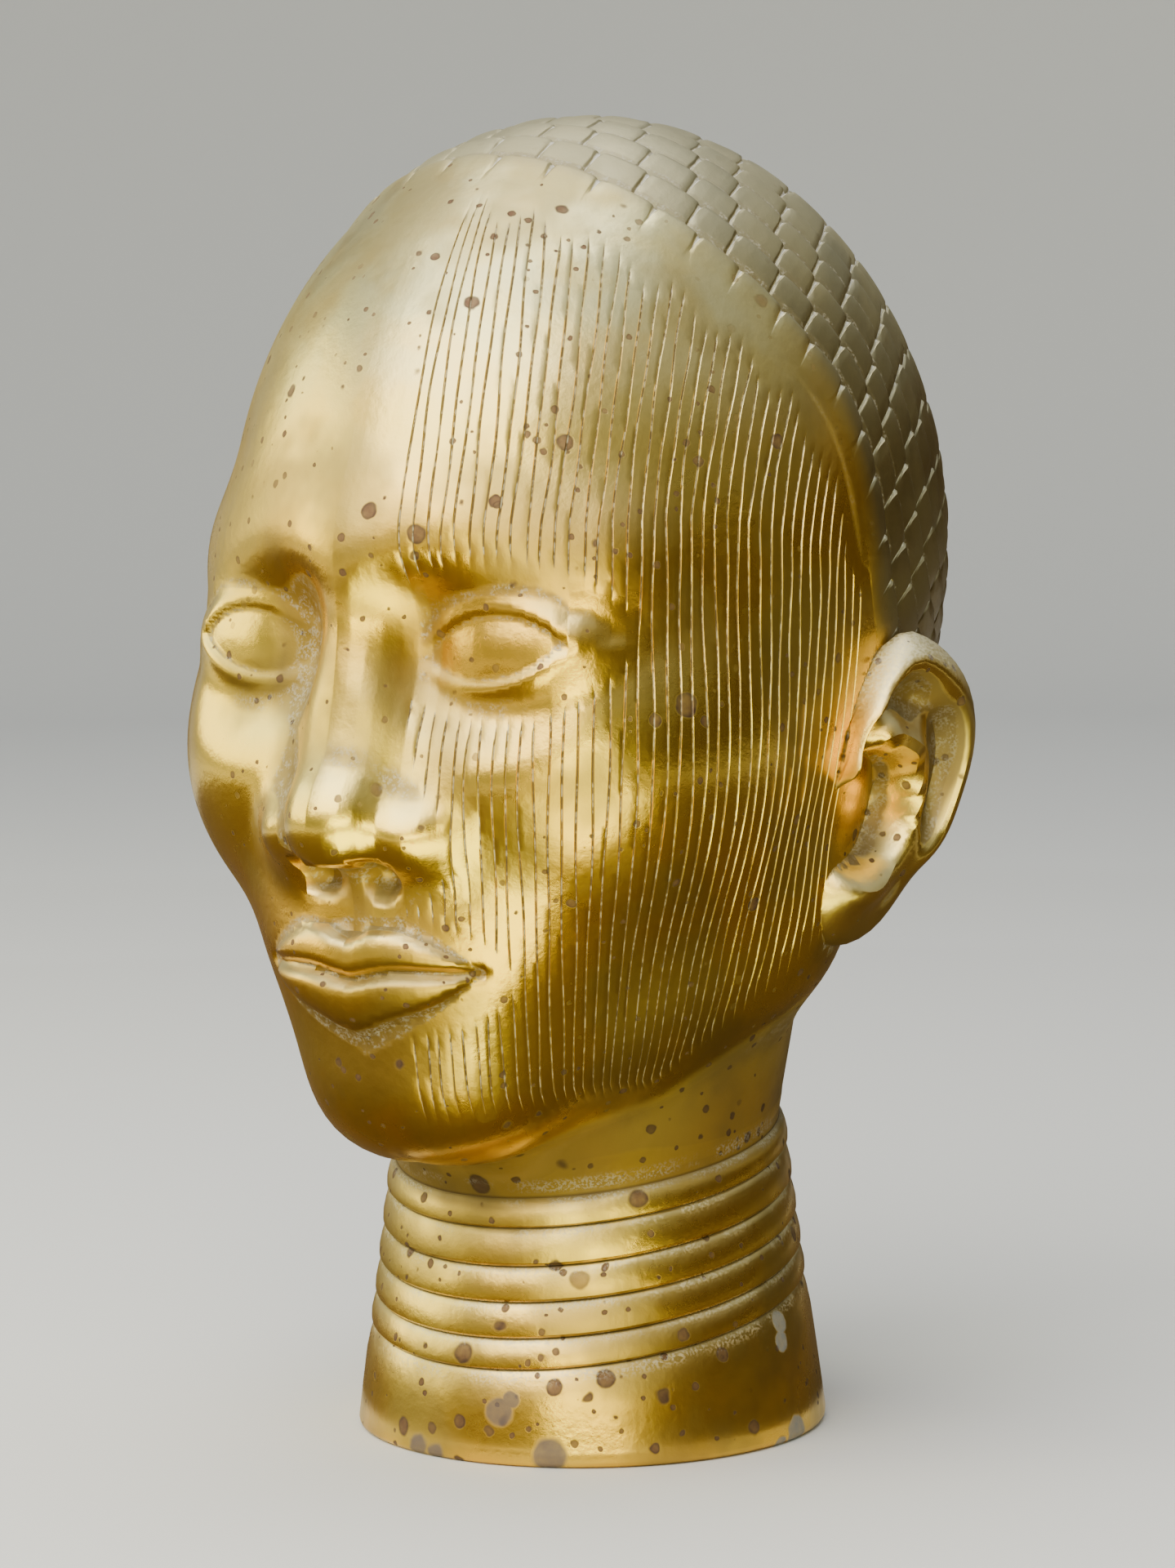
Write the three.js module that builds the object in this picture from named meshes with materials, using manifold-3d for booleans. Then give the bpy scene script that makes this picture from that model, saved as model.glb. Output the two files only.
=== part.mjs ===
import * as THREE from "three";
import { mergeVertices } from "three/addons/utils/BufferGeometryUtils.js";
import Module from "manifold-3d";

const wasm = await Module();
wasm.setup();

// A life-size cast brass head on a ringed neck, in millimetres.
// The face looks along -Y, the head's own left is +X, and zero is the middle of the underside.

const skullEgg = { centre: [0, 5, 203], radii: [76, 93, 97] };
const lowerFaceEgg = { centre: [0, -12, 148], radii: [63, 69, 76] };
const eyeCentre = [31.5, -61.5, 184.5];
const eyeHalfWidth = 17;
const mouthHeight = 114.6;
const mouthHalfWidth = 27;

const neckCentreY = 1;
const neckTopHeight = 76;
const neckSlope = 0.18;
const neckProfile = [
  [-20, 56.5], [0, 54.6], [8, 53.6], [20, 52], [34, 50], [62, 46.5], [80, 44.8], [130, 44],
];
const bandEdges = [67.2, 60.7, 52.3, 44.5, 36.7, 30];
const bandRelief = 1.6;
const baseStep = 1.0;
const baseStepFade = 8;
const bottomEdgeRadius = 2;

const courseCount = 13;
const courseRelief = 1.1;
const courseGroove = 0.25;
const courseCrest = 0.86;
const whorlTilt = THREE.MathUtils.degToRad(50);

const earCentre = [72.6, 6.3, 148.5];
const earUp = [0.2, 0.22, 0.96];
const earBack = [0.34, 0.94, 0];
const earReach = { back: 26, top: 37, front: 15.5, bottom: 35 };
const earFrontThickness = 2.2;
const earBackThickness = 3;
const earRootDepth = 15;

const evenColumns = 36;
const faceColumns = 60;
const foreheadRows = 6;
const faceSpans = [
  { from: 211, to: 197, steps: 3 },
  { from: 197, to: 172, steps: 8 },
  { from: 172, to: 142, steps: 4 },
  { from: 142, to: mouthHeight + 11.4, steps: 4 },
  { from: mouthHeight + 11.4, to: mouthHeight - 11.4, steps: 10 },
  { from: mouthHeight - 11.4, to: 89, steps: 3 },
];
const chinRows = 4;
const earColumns = 20;
const earRows = 12;

const smooth = (t) => {
  const s = Math.min(1, Math.max(0, t));
  return s * s * (3 - 2 * s);
};
const bell = (t, width) => Math.exp(-((t / width) ** 2));
const atLeastZero = (t) => Math.max(0, t);

// Every form below is a distance in millimetres, less than zero inside the metal.

function blend(a, b, softness) {
  const h = Math.min(1, Math.max(0, 0.5 + (0.5 * (b - a)) / softness));
  return b + (a - b) * h - softness * h * (1 - h);
}

const carve = (a, b, softness) => -blend(-a, b, softness);

function egg(p, centre, radii) {
  const q = p.map((value, i) => (value - centre[i]) / radii[i]);
  const near = Math.hypot(...q) + 1e-9;
  const far = Math.hypot(...q.map((value, i) => value / radii[i])) + 1e-9;
  return (near * (near - 1)) / far;
}

function limb(p, start, end, startRadius, endRadius) {
  const along = end.map((value, i) => value - start[i]);
  const offset = p.map((value, i) => value - start[i]);
  const dot = (a, b) => a[0] * b[0] + a[1] * b[1] + a[2] * b[2];
  const share = Math.min(1, Math.max(0, dot(offset, along) / dot(along, along)));
  const gap = offset.map((value, i) => value - along[i] * share);
  return Math.hypot(...gap) - (startRadius + (endRadius - startRadius) * share);
}

function neckRadius(height) {
  const next = neckProfile.findIndex(([z]) => z >= height);
  if (next <= 0) return neckProfile[next < 0 ? neckProfile.length - 1 : 0][1];
  const [lowZ, lowR] = neckProfile[next - 1];
  const [highZ, highR] = neckProfile[next];
  return lowR + ((highR - lowR) * (height - lowZ)) / (highZ - lowZ);
}

// The eye is a wide egg under two lids; the lids stop short of an almond opening.
function eye(p) {
  const across = (p[0] - eyeCentre[0]) / eyeHalfWidth;
  const height = p[2] - eyeCentre[2] - 1.6 * across;
  const inside = atLeastZero(1 - across ** 2);
  const upper = 8.2 * inside ** 0.75;
  const lower = -6.2 * inside ** 0.85;
  const beyond = atLeastZero(Math.abs(across) - 1) * eyeHalfWidth;
  let opening = Math.max(height - upper, lower - height);
  if (beyond > 0) opening = Math.hypot(atLeastZero(opening), beyond);
  const lid = smooth((opening + 1.2) / 3);
  const rim = bell(opening - 2.8, 1.8);
  const fold = smooth((height + 2) / 4) * bell(opening - 7.8, 2);
  return egg(p, eyeCentre, [24, 18, 17.5]) - 1.8 * lid - 0.5 * rim + 1.2 * fold;
}

function nose(p) {
  const bridge = limb(p, [0, -75, 197], [0, -88, 154], 7.5, 10.5);
  const tip = egg(p, [0, -92, 147], [11.2, 11.2, 11.2]);
  const wing = egg(p, [14.5, -82.5, 145], [9.5, 12, 8.4]);
  return blend(blend(bridge, tip, 8), wing, 6);
}

// Both lips are one soft swelling over the muzzle, parted by a crease.
function lips(p) {
  const across = p[0] / mouthHalfWidth;
  const side = atLeastZero(1 - across ** 2);
  const seam = mouthHeight - 1.3 * bell(p[0], 6) + 0.6 * bell(p[0] - 12, 7) + 0.6 * across ** 2;
  const up = p[2] - seam;
  const upperHeight = 11 * side ** 0.75 * (1 - 0.13 * bell(p[0], 4.5)) + 0.7;
  const lowerHeight = 12.4 * side ** 0.85 + 0.7;
  const t = Math.min(1, up > 0 ? up / upperHeight : -up / lowerHeight);
  const plump = Math.sqrt(atLeastZero(1 - ((t - 0.36) / 0.66) ** 2)) * smooth((1 - t) / 0.2);
  const fullness = 4.3 * side ** 0.45 * (up > 0 ? 0.86 : 1);
  const crease = 2.2 * bell(up, 2.4) * smooth((1.14 - across) / 0.2);
  return smooth((-52 - p[1]) / 12) * (plump * fullness - crease);
}

function headForm(point) {
  const p = [Math.hypot(point[0], 0.2), point[1], point[2]];
  let d = egg(p, skullEgg.centre, skullEgg.radii);
  d = blend(d, egg(p, lowerFaceEgg.centre, lowerFaceEgg.radii), 34);
  d = blend(d, limb(p, [14, -55, 89], [46, -2, 118], 13, 13), 28);
  d = blend(d, egg(p, [0, -63, 88], [22, 19, 17]), 18);
  d = blend(d, egg(p, [38, -48, 157], [26, 28, 27]), 26);
  d = blend(d, egg(p, [0, -60, 119], [36, 26, 27]), 18);
  d = blend(d, limb(p, [0, -77, 206], [46, -58, 203], 7, 5), 22);
  d = carve(d, egg(p, [29, -95, 190], [20, 14, 12]), 14);
  d = carve(d, egg(p, [33, -93, 174], [18, 10, 7]), 14);
  d = carve(d, egg(p, [16, -91, 186], [7, 11, 10]), 12);
  d = blend(d, eye(p), 4);
  d = blend(d, nose(p), 10);
  d = carve(d, limb(p, [0, -93, 134], [0, -93, 126], 3.2, 4), 6);
  d -= lips(p);
  const neck = (Math.hypot(p[0], p[1] - neckCentreY) - neckRadius(p[2])) * 0.98;
  return blend(d, Math.max(neck, p[2] - 120), 14);
}

// The surface is laid out as rings round the head. A turn of zero is the middle of the face.
// Down the head the level runs from 0 at the whorl of the hair, over 1 at the hairline, 1.8 under
// the jaw and 2 at the top of the neck, to 3 at the underside.

const headCentre = new THREE.Vector3(0, 6, 200);
const lowestFaceOrigin = new THREE.Vector3(0, -2, 88);
const browHeight = headCentre.z + 12;
const whorlAxis = new THREE.Vector3(0, Math.sin(whorlTilt), Math.cos(whorlTilt));
const whorlFront = new THREE.Vector3(0, -Math.cos(whorlTilt), Math.sin(whorlTilt));
const whorlSide = new THREE.Vector3(1, 0, 0);
const jaw = { front: [0, -47, 70], side: [49, 3, 92], back: [0, 49, 101] };
const browShare = 0.38;
const chinShare = 0.88;

function hairlineAngle(turn) {
  const away = THREE.MathUtils.radToDeg(Math.abs(turn));
  return THREE.MathUtils.degToRad(80 + 20 * smooth((away - 60) / 50) - 3 * smooth((away - 120) / 60));
}

function hairDirection(turn, level) {
  const angle = level * hairlineAngle(turn);
  const side = whorlFront.clone().multiplyScalar(Math.cos(turn)).addScaledVector(whorlSide, Math.sin(turn));
  return whorlAxis.clone().multiplyScalar(Math.cos(angle)).addScaledVector(side, Math.sin(angle));
}

function jawPoint(turn) {
  const [front, side, back] = [jaw.front, jaw.side, jaw.back];
  const middleY = (front[1] + back[1]) / 2;
  const middleZ = (front[2] + back[2]) / 2;
  const sideShare = Math.sin(turn) ** 2;
  return new THREE.Vector3(
    side[0] * Math.sin(turn),
    middleY + (Math.cos(turn) * (front[1] - back[1])) / 2 + sideShare * (side[1] - middleY),
    middleZ + (Math.cos(turn) * (front[2] - back[2])) / 2 + sideShare * (side[2] - middleZ),
  );
}

function neckPoint(turn, height) {
  const radius = neckRadius(height) + 3;
  const slope = neckSlope * Math.min(1, Math.max(0, height / 25));
  return new THREE.Vector3(
    radius * Math.sin(turn),
    neckCentreY - radius * Math.cos(turn),
    height - slope * radius * Math.cos(turn),
  );
}

const faceOriginAt = (turn) => {
  const share = Math.min(1, Math.max(0.12, 0.62 + 0.62 * Math.cos(turn)));
  return headCentre.clone().lerp(lowestFaceOrigin, share);
};

function turnTowards(from, to, share) {
  const angle = from.angleTo(to);
  const side = Math.sin(angle) + 1e-9;
  return from.clone().multiplyScalar(Math.sin((1 - share) * angle) / side)
    .addScaledVector(to, Math.sin(share * angle) / side);
}

// At the sides and the back the rays swing straight from the hairline down to the jaw.
function sideRay(turn, share) {
  const end = faceOriginAt(turn);
  const towardJaw = jawPoint(turn).sub(end).normalize();
  return {
    origin: headCentre.clone().lerp(end, share),
    direction: turnTowards(hairDirection(turn, 1), towardJaw, share),
  };
}

// Over the face the rays lie level between the brow and the chin, so that its rows are level too.
function frontRay(turn, share) {
  const start = hairDirection(turn, 1);
  const end = faceOriginAt(turn);
  const settled = smooth(share / browShare);
  const bearing = THREE.MathUtils.lerp(Math.atan2(start.x, -start.y), turn, settled);
  const rise = Math.asin(start.z) * Math.max(0, 1 - share / browShare);
  const direction = new THREE.Vector3(
    Math.sin(bearing) * Math.cos(rise),
    -Math.cos(bearing) * Math.cos(rise),
    Math.sin(rise),
  );
  const towardJaw = jawPoint(turn).sub(end).normalize();
  const sinking = Math.max(0, (share - chinShare) / (1 - chinShare));
  const falling = Math.min(1, Math.max(0, (share - browShare) / (chinShare - browShare)));
  const origin = headCentre.clone().lerp(end, falling);
  origin.z += (browHeight - headCentre.z) * Math.min(1, share / browShare) * (1 - falling);
  return { origin, direction: turnTowards(direction, towardJaw, sinking) };
}

function rayAt(turn, level) {
  if (level <= 1) return { origin: headCentre, direction: hairDirection(turn, level), reach: 150 };
  if (level <= 1.8) {
    const share = (level - 1) / 0.8;
    const side = sideRay(turn, share);
    const front = frontRay(turn, share);
    const degreesAside = THREE.MathUtils.radToDeg(Math.abs(turn));
    const frontness = smooth((100 - degreesAside) / 45);
    return {
      origin: side.origin.lerp(front.origin, frontness),
      direction: side.direction.lerp(front.direction, frontness).normalize(),
      reach: 150,
    };
  }
  const share = Math.min(1, (level - 1.8) / 0.2);
  const height = level > 2 ? neckTopHeight * (3 - level) : neckTopHeight;
  const origin = faceOriginAt(turn).lerp(new THREE.Vector3(0, neckCentreY, height), share);
  const target = jawPoint(turn).lerp(neckPoint(turn, height), share);
  const direction = target.sub(origin);
  const reach = direction.length() + 6;
  return { origin, direction: direction.normalize(), reach };
}

// Walks in along a ray from outside until it meets the form, then lifts the relief off it.
function surfacePoint(turn, level, relief) {
  const { origin, direction, reach } = rayAt(turn, level);
  const at = (distance) => origin.clone().addScaledVector(direction, distance);
  let distance = reach;
  for (let step = 0; step < 40; step++) distance -= 0.85 * headForm(at(distance).toArray());
  return at(distance + relief);
}

// Each course of hair climbs from its outer side to a crest and drops to the next one inside it.
function hairRows() {
  const rows = [];
  for (let course = 0; course < courseCount; course++) {
    const groove = course === 0 ? 0 : -courseGroove;
    rows.push({ level: 1 - course / courseCount, relief: groove });
    rows.push({ level: 1 - (course + courseCrest) / courseCount, relief: courseRelief });
  }
  return rows.reverse();
}

// Rows down the face: even ones over the forehead, then level ones at set heights, closest at the
// eyes and the mouth, then a few round the chin to the neck.
function faceRows() {
  const rows = [];
  const add = (level) => rows.push({ level, relief: 0 });
  const browLevel = 1 + 0.8 * browShare;
  const chinLevel = 1 + 0.8 * chinShare;
  for (let i = 1; i < foreheadRows; i++) add(1 + ((browLevel - 1) * i) / foreheadRows);
  const chinHeight = lowestFaceOrigin.z;
  for (const { from, to, steps } of faceSpans) {
    for (let i = 0; i < steps; i++) {
      const height = from + ((to - from) * i) / steps;
      add(browLevel + ((chinLevel - browLevel) * (browHeight - height)) / (browHeight - chinHeight));
    }
  }
  for (let i = 0; i < chinRows; i++) add(chinLevel + ((2 - chinLevel) * i) / chinRows);
  return rows;
}

function neckRows() {
  const rows = [];
  const add = (height, relief) => rows.push({ level: 3 - height / neckTopHeight, relief });
  add(neckTopHeight - 3, -0.6 * bandRelief);
  for (let band = 0; band + 1 < bandEdges.length; band++) {
    const top = bandEdges[band];
    const pitch = top - bandEdges[band + 1];
    add(top, -bandRelief);
    add(top - 0.22 * pitch, -0.12 * bandRelief);
    add(top - 0.78 * pitch, -0.12 * bandRelief);
  }
  const baseTop = bandEdges[bandEdges.length - 1];
  add(baseTop, -bandRelief);
  add(baseTop - 0.8, -baseStep);
  add(baseTop - baseStepFade, 0);
  add(bottomEdgeRadius, 0);
  add(0.3 * bottomEdgeRadius, -0.3 * bottomEdgeRadius);
  add(0, -bottomEdgeRadius);
  return rows;
}

// The hair and the neck take even columns; the face takes more of them, closest in the middle.
const evenTurn = (share) => Math.PI * share;
const faceTurn = (share) => Math.PI * (0.36 * share + 0.1 * share ** 3 + 0.54 * share ** 5);

function ringOf(row, columns, turnOf) {
  const ring = [];
  for (let i = 0; i < columns; i++) {
    const turn = turnOf((2 * i) / columns - 1);
    ring.push({ turn, point: surfacePoint(turn, row.level, row.relief) });
  }
  return ring;
}

// Sews two rings together that may have different numbers of points.
function sew(upper, upperStart, lower, lowerStart, index) {
  const turnAt = (ring, i) => ring[i % ring.length].turn + (i >= ring.length ? 2 * Math.PI : 0);
  let i = 0;
  let j = 0;
  while (i < upper.length || j < lower.length) {
    const a = upperStart + (i % upper.length);
    const b = lowerStart + (j % lower.length);
    const upperIsNext = j >= lower.length || turnAt(upper, i + 1) < turnAt(lower, j + 1);
    if (i < upper.length && upperIsNext) {
      i += 1;
      index.push(a, b, upperStart + (i % upper.length));
    } else {
      j += 1;
      index.push(a, b, lowerStart + (j % lower.length));
    }
  }
}

function headGeometry() {
  const rings = [
    ...hairRows().map((row) => ringOf(row, evenColumns, evenTurn)),
    ...faceRows().map((row) => ringOf(row, faceColumns, faceTurn)),
    ...neckRows().map((row) => ringOf(row, evenColumns, evenTurn)),
  ];
  for (const { point } of rings[rings.length - 1]) point.z = 0;
  const points = [surfacePoint(0, 0, courseRelief)];
  const index = [];
  let previousStart = 0;
  rings.forEach((ring, i) => {
    const start = points.length;
    points.push(...ring.map(({ point }) => point));
    if (i === 0) ring.forEach((_, j) => index.push(0, start + j, start + ((j + 1) % ring.length)));
    else sew(rings[i - 1], previousStart, ring, start, index);
    previousStart = start;
  });
  const last = rings[rings.length - 1].length;
  const centre = points.length;
  points.push(new THREE.Vector3(0, neckCentreY, 0));
  for (let j = 0; j < last; j++) index.push(centre, previousStart + ((j + 1) % last), previousStart + j);
  const geometry = new THREE.BufferGeometry().setFromPoints(points);
  geometry.setIndex(index);
  return geometry;
}

// The ear lies in a plane of its own: a to the back, b up, and the height off that plane.

const turnFrom = (angle, centre) => {
  const full = 2 * Math.PI;
  return ((((angle - centre + Math.PI) % full) + full) % full) - Math.PI;
};
const hump = (angle, centre, width) => bell(turnFrom(angle, centre), width);
const bump = (a, b, centre, radius) => bell(Math.hypot(a - centre[0], b - centre[1]), radius);

function ridge(a, b, start, end, width) {
  const along = [end[0] - start[0], end[1] - start[1]];
  const offset = [a - start[0], b - start[1]];
  const share = (offset[0] * along[0] + offset[1] * along[1]) / (along[0] ** 2 + along[1] ** 2);
  const held = Math.min(1, Math.max(0, share));
  return bell(Math.hypot(offset[0] - along[0] * held, offset[1] - along[1] * held), width);
}

function earOutline(angle) {
  const a = Math.cos(angle) / (Math.cos(angle) > 0 ? earReach.back : earReach.front);
  const b = Math.sin(angle) / (Math.sin(angle) > 0 ? earReach.top : earReach.bottom);
  const shoulders = 4 * hump(angle, 0.85, 0.5) + 2.5 * hump(angle, 2.1, 0.4);
  const waists = 3.8 * hump(angle, 5.55, 0.42) + hump(angle, 4.1, 0.3);
  return 1 / Math.hypot(a, b) + shoulders - waists;
}

function earHeight(a, b, share, angle) {
  const topFront = hump(angle, 2, 0.85);
  const alongRim = smooth((turnFrom(angle, 1.2) + 2.3) / 0.7) * smooth((2.1 - turnFrom(angle, 1.2)) / 0.5);
  const alongHollow = smooth((turnFrom(angle, 1) + 1.55) / 0.6) * smooth((1.3 - turnFrom(angle, 1)) / 0.5);
  const fromBowl = Math.hypot((a + 1) / 13.5, (b + 3.5) / 16.5);
  const helix = 4.2 * (1 + 0.8 * topFront) * bell(share - 0.86, 0.115 + 0.05 * topFront) * alongRim;
  const hollow = -2.4 * bell(share - 0.64, 0.11) * alongHollow;
  const innerFold = 3 * bell((fromBowl - 1.08) * 14, 3.6) * smooth((a + 8) / 6);
  const bowl = -8 * smooth((1 - fromBowl) / 0.55);
  const fork = 2.4 * ridge(a, b, [6, 13], [9, 25], 3.4) + 1.9 * ridge(a, b, [4, 13], [-8, 19], 3);
  const helixRoot = 3.2 * ridge(a, b, [-12, 4], [-2, 0.5], 3.6);
  const tragus = 5 * ridge(a, b, [-13.5, -3], [-11.5, -9], 4.8);
  const lowerBumps = 2.4 * bump(a, b, [4, -18.5], 5.5) - 2.5 * bump(a, b, [-5.5, -17], 4);
  const lobe = 3 * bump(a, b, [0.5, -27], 8.5);
  return helix + hollow + innerFold + bowl + fork + helixRoot + tragus + lowerBumps + lobe;
}

function earGeometry() {
  const geometry = new THREE.SphereGeometry(1, earColumns, earRows);
  const position = geometry.attributes.position;
  const up = new THREE.Vector3(...earUp).normalize();
  const back = new THREE.Vector3(...earBack);
  back.addScaledVector(up, -up.dot(back)).normalize();
  const out = back.clone().cross(up);
  for (let row = 0; row <= earRows; row++) {
    const fromPole = (Math.PI * row) / earRows;
    const share = Math.sin(fromPole) ** 0.85;
    const edge = Math.sqrt(atLeastZero(1 - share ** 7));
    for (let column = 0; column <= earColumns; column++) {
      const angle = (2 * Math.PI * (column % earColumns)) / earColumns;
      const radius = earOutline(angle) * share;
      const a = radius * Math.cos(angle);
      const b = radius * Math.sin(angle);
      const front = edge * (earFrontThickness + earHeight(a, b, share, angle));
      const behind = -edge * earBackThickness - earRootDepth * smooth((0.78 - share) / 0.6);
      const height = fromPole <= Math.PI / 2 ? front : behind;
      const point = new THREE.Vector3(...earCentre);
      point.addScaledVector(back, a).addScaledVector(up, b).addScaledVector(out, height);
      position.setXYZ(row * (earColumns + 1) + column, point.x, point.y, point.z);
    }
  }
  return geometry;
}

function solid(geometry, mirrored = false) {
  for (const name of ["normal", "uv"]) geometry.deleteAttribute(name);
  const merged = mergeVertices(geometry, 1e-4);
  const vertProperties = new Float32Array(merged.attributes.position.array);
  const triVerts = new Uint32Array(merged.index.array);
  if (mirrored) {
    for (let i = 0; i < vertProperties.length; i += 3) vertProperties[i] *= -1;
    triVerts.reverse();
  }
  return new wasm.Manifold(new wasm.Mesh({ numProp: 3, vertProperties, triVerts }));
}

const casting = solid(headGeometry()).add(solid(earGeometry())).add(solid(earGeometry(), true)).getMesh();
const castingGeometry = new THREE.BufferGeometry();
castingGeometry.setAttribute("position", new THREE.BufferAttribute(casting.vertProperties, 3));
castingGeometry.setIndex(new THREE.BufferAttribute(casting.triVerts, 1));
castingGeometry.computeVertexNormals();

const brass = new THREE.MeshStandardMaterial({ color: 0xa07f45, roughness: 0.32, metalness: 1 });
const brassHead = new THREE.Mesh(castingGeometry, brass);
brassHead.name = "brass_head";

const part = new THREE.Group();
part.add(brassHead);

export default part;
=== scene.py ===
import math
import bpy
import numpy as np
from mathutils import Matrix, Vector
from mathutils.kdtree import KDTree


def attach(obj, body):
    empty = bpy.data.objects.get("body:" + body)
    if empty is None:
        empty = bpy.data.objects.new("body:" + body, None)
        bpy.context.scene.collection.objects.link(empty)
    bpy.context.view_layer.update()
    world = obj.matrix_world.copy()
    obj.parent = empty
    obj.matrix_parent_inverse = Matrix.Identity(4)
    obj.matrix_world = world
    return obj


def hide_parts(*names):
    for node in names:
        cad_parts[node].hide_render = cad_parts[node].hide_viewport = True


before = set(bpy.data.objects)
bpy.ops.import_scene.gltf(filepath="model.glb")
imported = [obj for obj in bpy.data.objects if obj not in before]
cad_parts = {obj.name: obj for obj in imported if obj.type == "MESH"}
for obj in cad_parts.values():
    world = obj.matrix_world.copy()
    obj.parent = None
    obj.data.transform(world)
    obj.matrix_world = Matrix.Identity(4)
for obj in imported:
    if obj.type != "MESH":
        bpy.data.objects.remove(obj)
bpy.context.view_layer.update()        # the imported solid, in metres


# Camera

view = {
    "azimuth": 35.0,                  # degrees, from the face towards its left ear
    "distance": 1.15,                 # metres from the axis of the head, measured level
    "height": 0.259,
    "aim": (0.0, 0.002, 0.148),
    "lens": 115.1,                    # for a picture 36 mm tall
    "roll": -0.7,                     # degrees
}


def placeCamera():
    turn = math.radians(view["azimuth"])
    spot = Vector((view["distance"] * math.sin(turn), -view["distance"] * math.cos(turn), view["height"]))
    look = (Vector(view["aim"]) - spot).to_track_quat("-Z", "Y").to_matrix().to_4x4()
    bpy.ops.object.camera_add()
    camera = bpy.context.object
    camera.name = "camera"
    roll = Matrix.Rotation(math.radians(view["roll"]), 4, "Z")
    camera.matrix_world = Matrix.Translation(spot) @ look @ roll
    camera.data.lens = view["lens"]
    camera.data.sensor_width = 36.0
    bpy.context.scene.camera = camera


print("camera")
bpy.ops.object.select_all(action="DESELECT")
placeCamera()


# Soft forms, in millimetres. Each gives the distance from a point to the form's surface.

def smoothStep(t):
    t = np.clip(t, 0, 1)
    return t * t * (3 - 2 * t)


def bell(t, width):
    return np.exp(-(t / width) ** 2)


def join(a, b, soft):
    share = np.clip(0.5 + 0.5 * (b - a) / soft, 0, 1)
    return b + (a - b) * share - soft * share * (1 - share)


def carve(a, b, soft):
    return -join(-a, b, soft)


def egg(p, centre, radii):
    q = [(p[i] - centre[i]) / radii[i] for i in range(3)]
    near = np.sqrt(q[0] ** 2 + q[1] ** 2 + q[2] ** 2) + 1e-9
    slope = np.sqrt(sum((q[i] / radii[i]) ** 2 for i in range(3))) + 1e-9
    return near * (near - 1) / slope


def limb(p, start, end, startRadius, endRadius):
    along = [end[i] - start[i] for i in range(3)]
    away = [p[i] - start[i] for i in range(3)]
    share = sum(away[i] * along[i] for i in range(3)) / sum(a * a for a in along)
    share = np.clip(share, 0, 1)
    gap = np.sqrt(sum((away[i] - along[i] * share) ** 2 for i in range(3)))
    return gap - (startRadius + (endRadius - startRadius) * share)


# Head

head = {
    "skull": ((0, 5, 203), (76, 93, 97)),
    "forms": [                        # face, jaw, chin, cheekbones, mouth and brows, then the hollows
        (join, egg, ((0, -12, 148), (63, 69, 76)), 34),
        (join, limb, ((14, -55, 89), (46, -2, 118), 13, 13), 28),
        (join, egg, ((0, -63, 88), (22, 19, 17)), 18),
        (join, egg, ((38, -48, 157), (26, 28, 27)), 26),
        (join, egg, ((0, -60, 119), (36, 26, 27)), 18),
        (join, limb, ((0, -77, 206), (46, -58, 203), 7, 5), 22),
        (carve, egg, ((29, -95, 190), (20, 14, 12)), 14),
        (carve, egg, ((33, -93, 174), (18, 10, 7)), 14),
        (carve, egg, ((16, -91, 186), (7, 11, 10)), 12),
    ],
    "nostril": ((8, -89, 135.4), (4.6, 7.5, 4.2)),
    "lipGroove": ((0, -93, 134), (0, -93, 126), 3.2, 4.0),
    "neckOutline": [                  # height and radius
        (-20, 56.5), (0, 54.6), (8, 53.6), (20, 52.0), (34, 50.0), (62, 46.5), (80, 44.8), (130, 44.0),
    ],
    "neckSetBack": 1.0,               # the neck's axis, behind that of the head
    "neckTop": 76.0,
    "ringSlope": 0.18,                # the neck rings dip towards the front
    "ringEdges": [67.2, 60.7, 52.3, 44.5, 36.7, 30.0],
    "ringGroove": 1.6,                # depth of the grooves between the rings
    "eye": (31.5, -61.5, 184.5),
    "eyeHalfWidth": 17.0,
    "mouthHeight": 114.6,
    "mouthHalfWidth": 27.0,
    "rayStart": (0.0, 6.0, 200.0),    # rays leave from here, and lower down from behind the chin
    "chinRayStart": (0.0, -2.0, 88.0),
    "browShare": 0.38,                # of the way from the hairline to the jaw
    "chinShare": 0.88,
    "whorlTilt": 50.0,                # degrees back from the top
    "jawFront": (0.0, -47.0, 70.0),
    "jawSide": (49.0, 3.0, 92.0),
    "jawBack": (0.0, 49.0, 101.0),
    "underside": 2.0,                 # radius of the rounded bottom edge
    "rowSpacing": 3.0,                # of the mesh below the hairline, and where it is closer
    "closeRows": [(184, 13, 2.6), (142, 10, 1.6), (114.5, 6, 3.6), (114.5, 14, 1.2)],
    "backColumns": 120,               # behind the lines, round to the right ear
    "rightColumns": 88,
    "ringProfile": [                  # how far down a ring, and the share of the groove's depth
        (0, 1.0), (0.06, 0.6), (0.2, 0.36), (0.42, 0.13), (0.68, 0.0), (0.87, 0.07), (0.96, 0.5),
    ],
}

hair = {
    "courses": 13,
    "step": 1.1,                      # how far each course stands over the next one inwards
    "profile": [(0.02, -0.23), (0.3, 0.32), (0.62, 0.7), (0.85, 1.0), (0.96, 0.82)],
    "reach": 88.0,                    # from the middle of the head to the hair
    "tile": 11.6,                     # width of a tile
    "cutDepth": 0.7,
    "cutHalfWidth": 0.5,
    "notchHalfWidth": 0.9,
    "crown": 0.3,                     # how far the middle of a tile stands over its sides
    "rim": 0.9,                       # a raised roll along the hairline over the left temple
}

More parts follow.
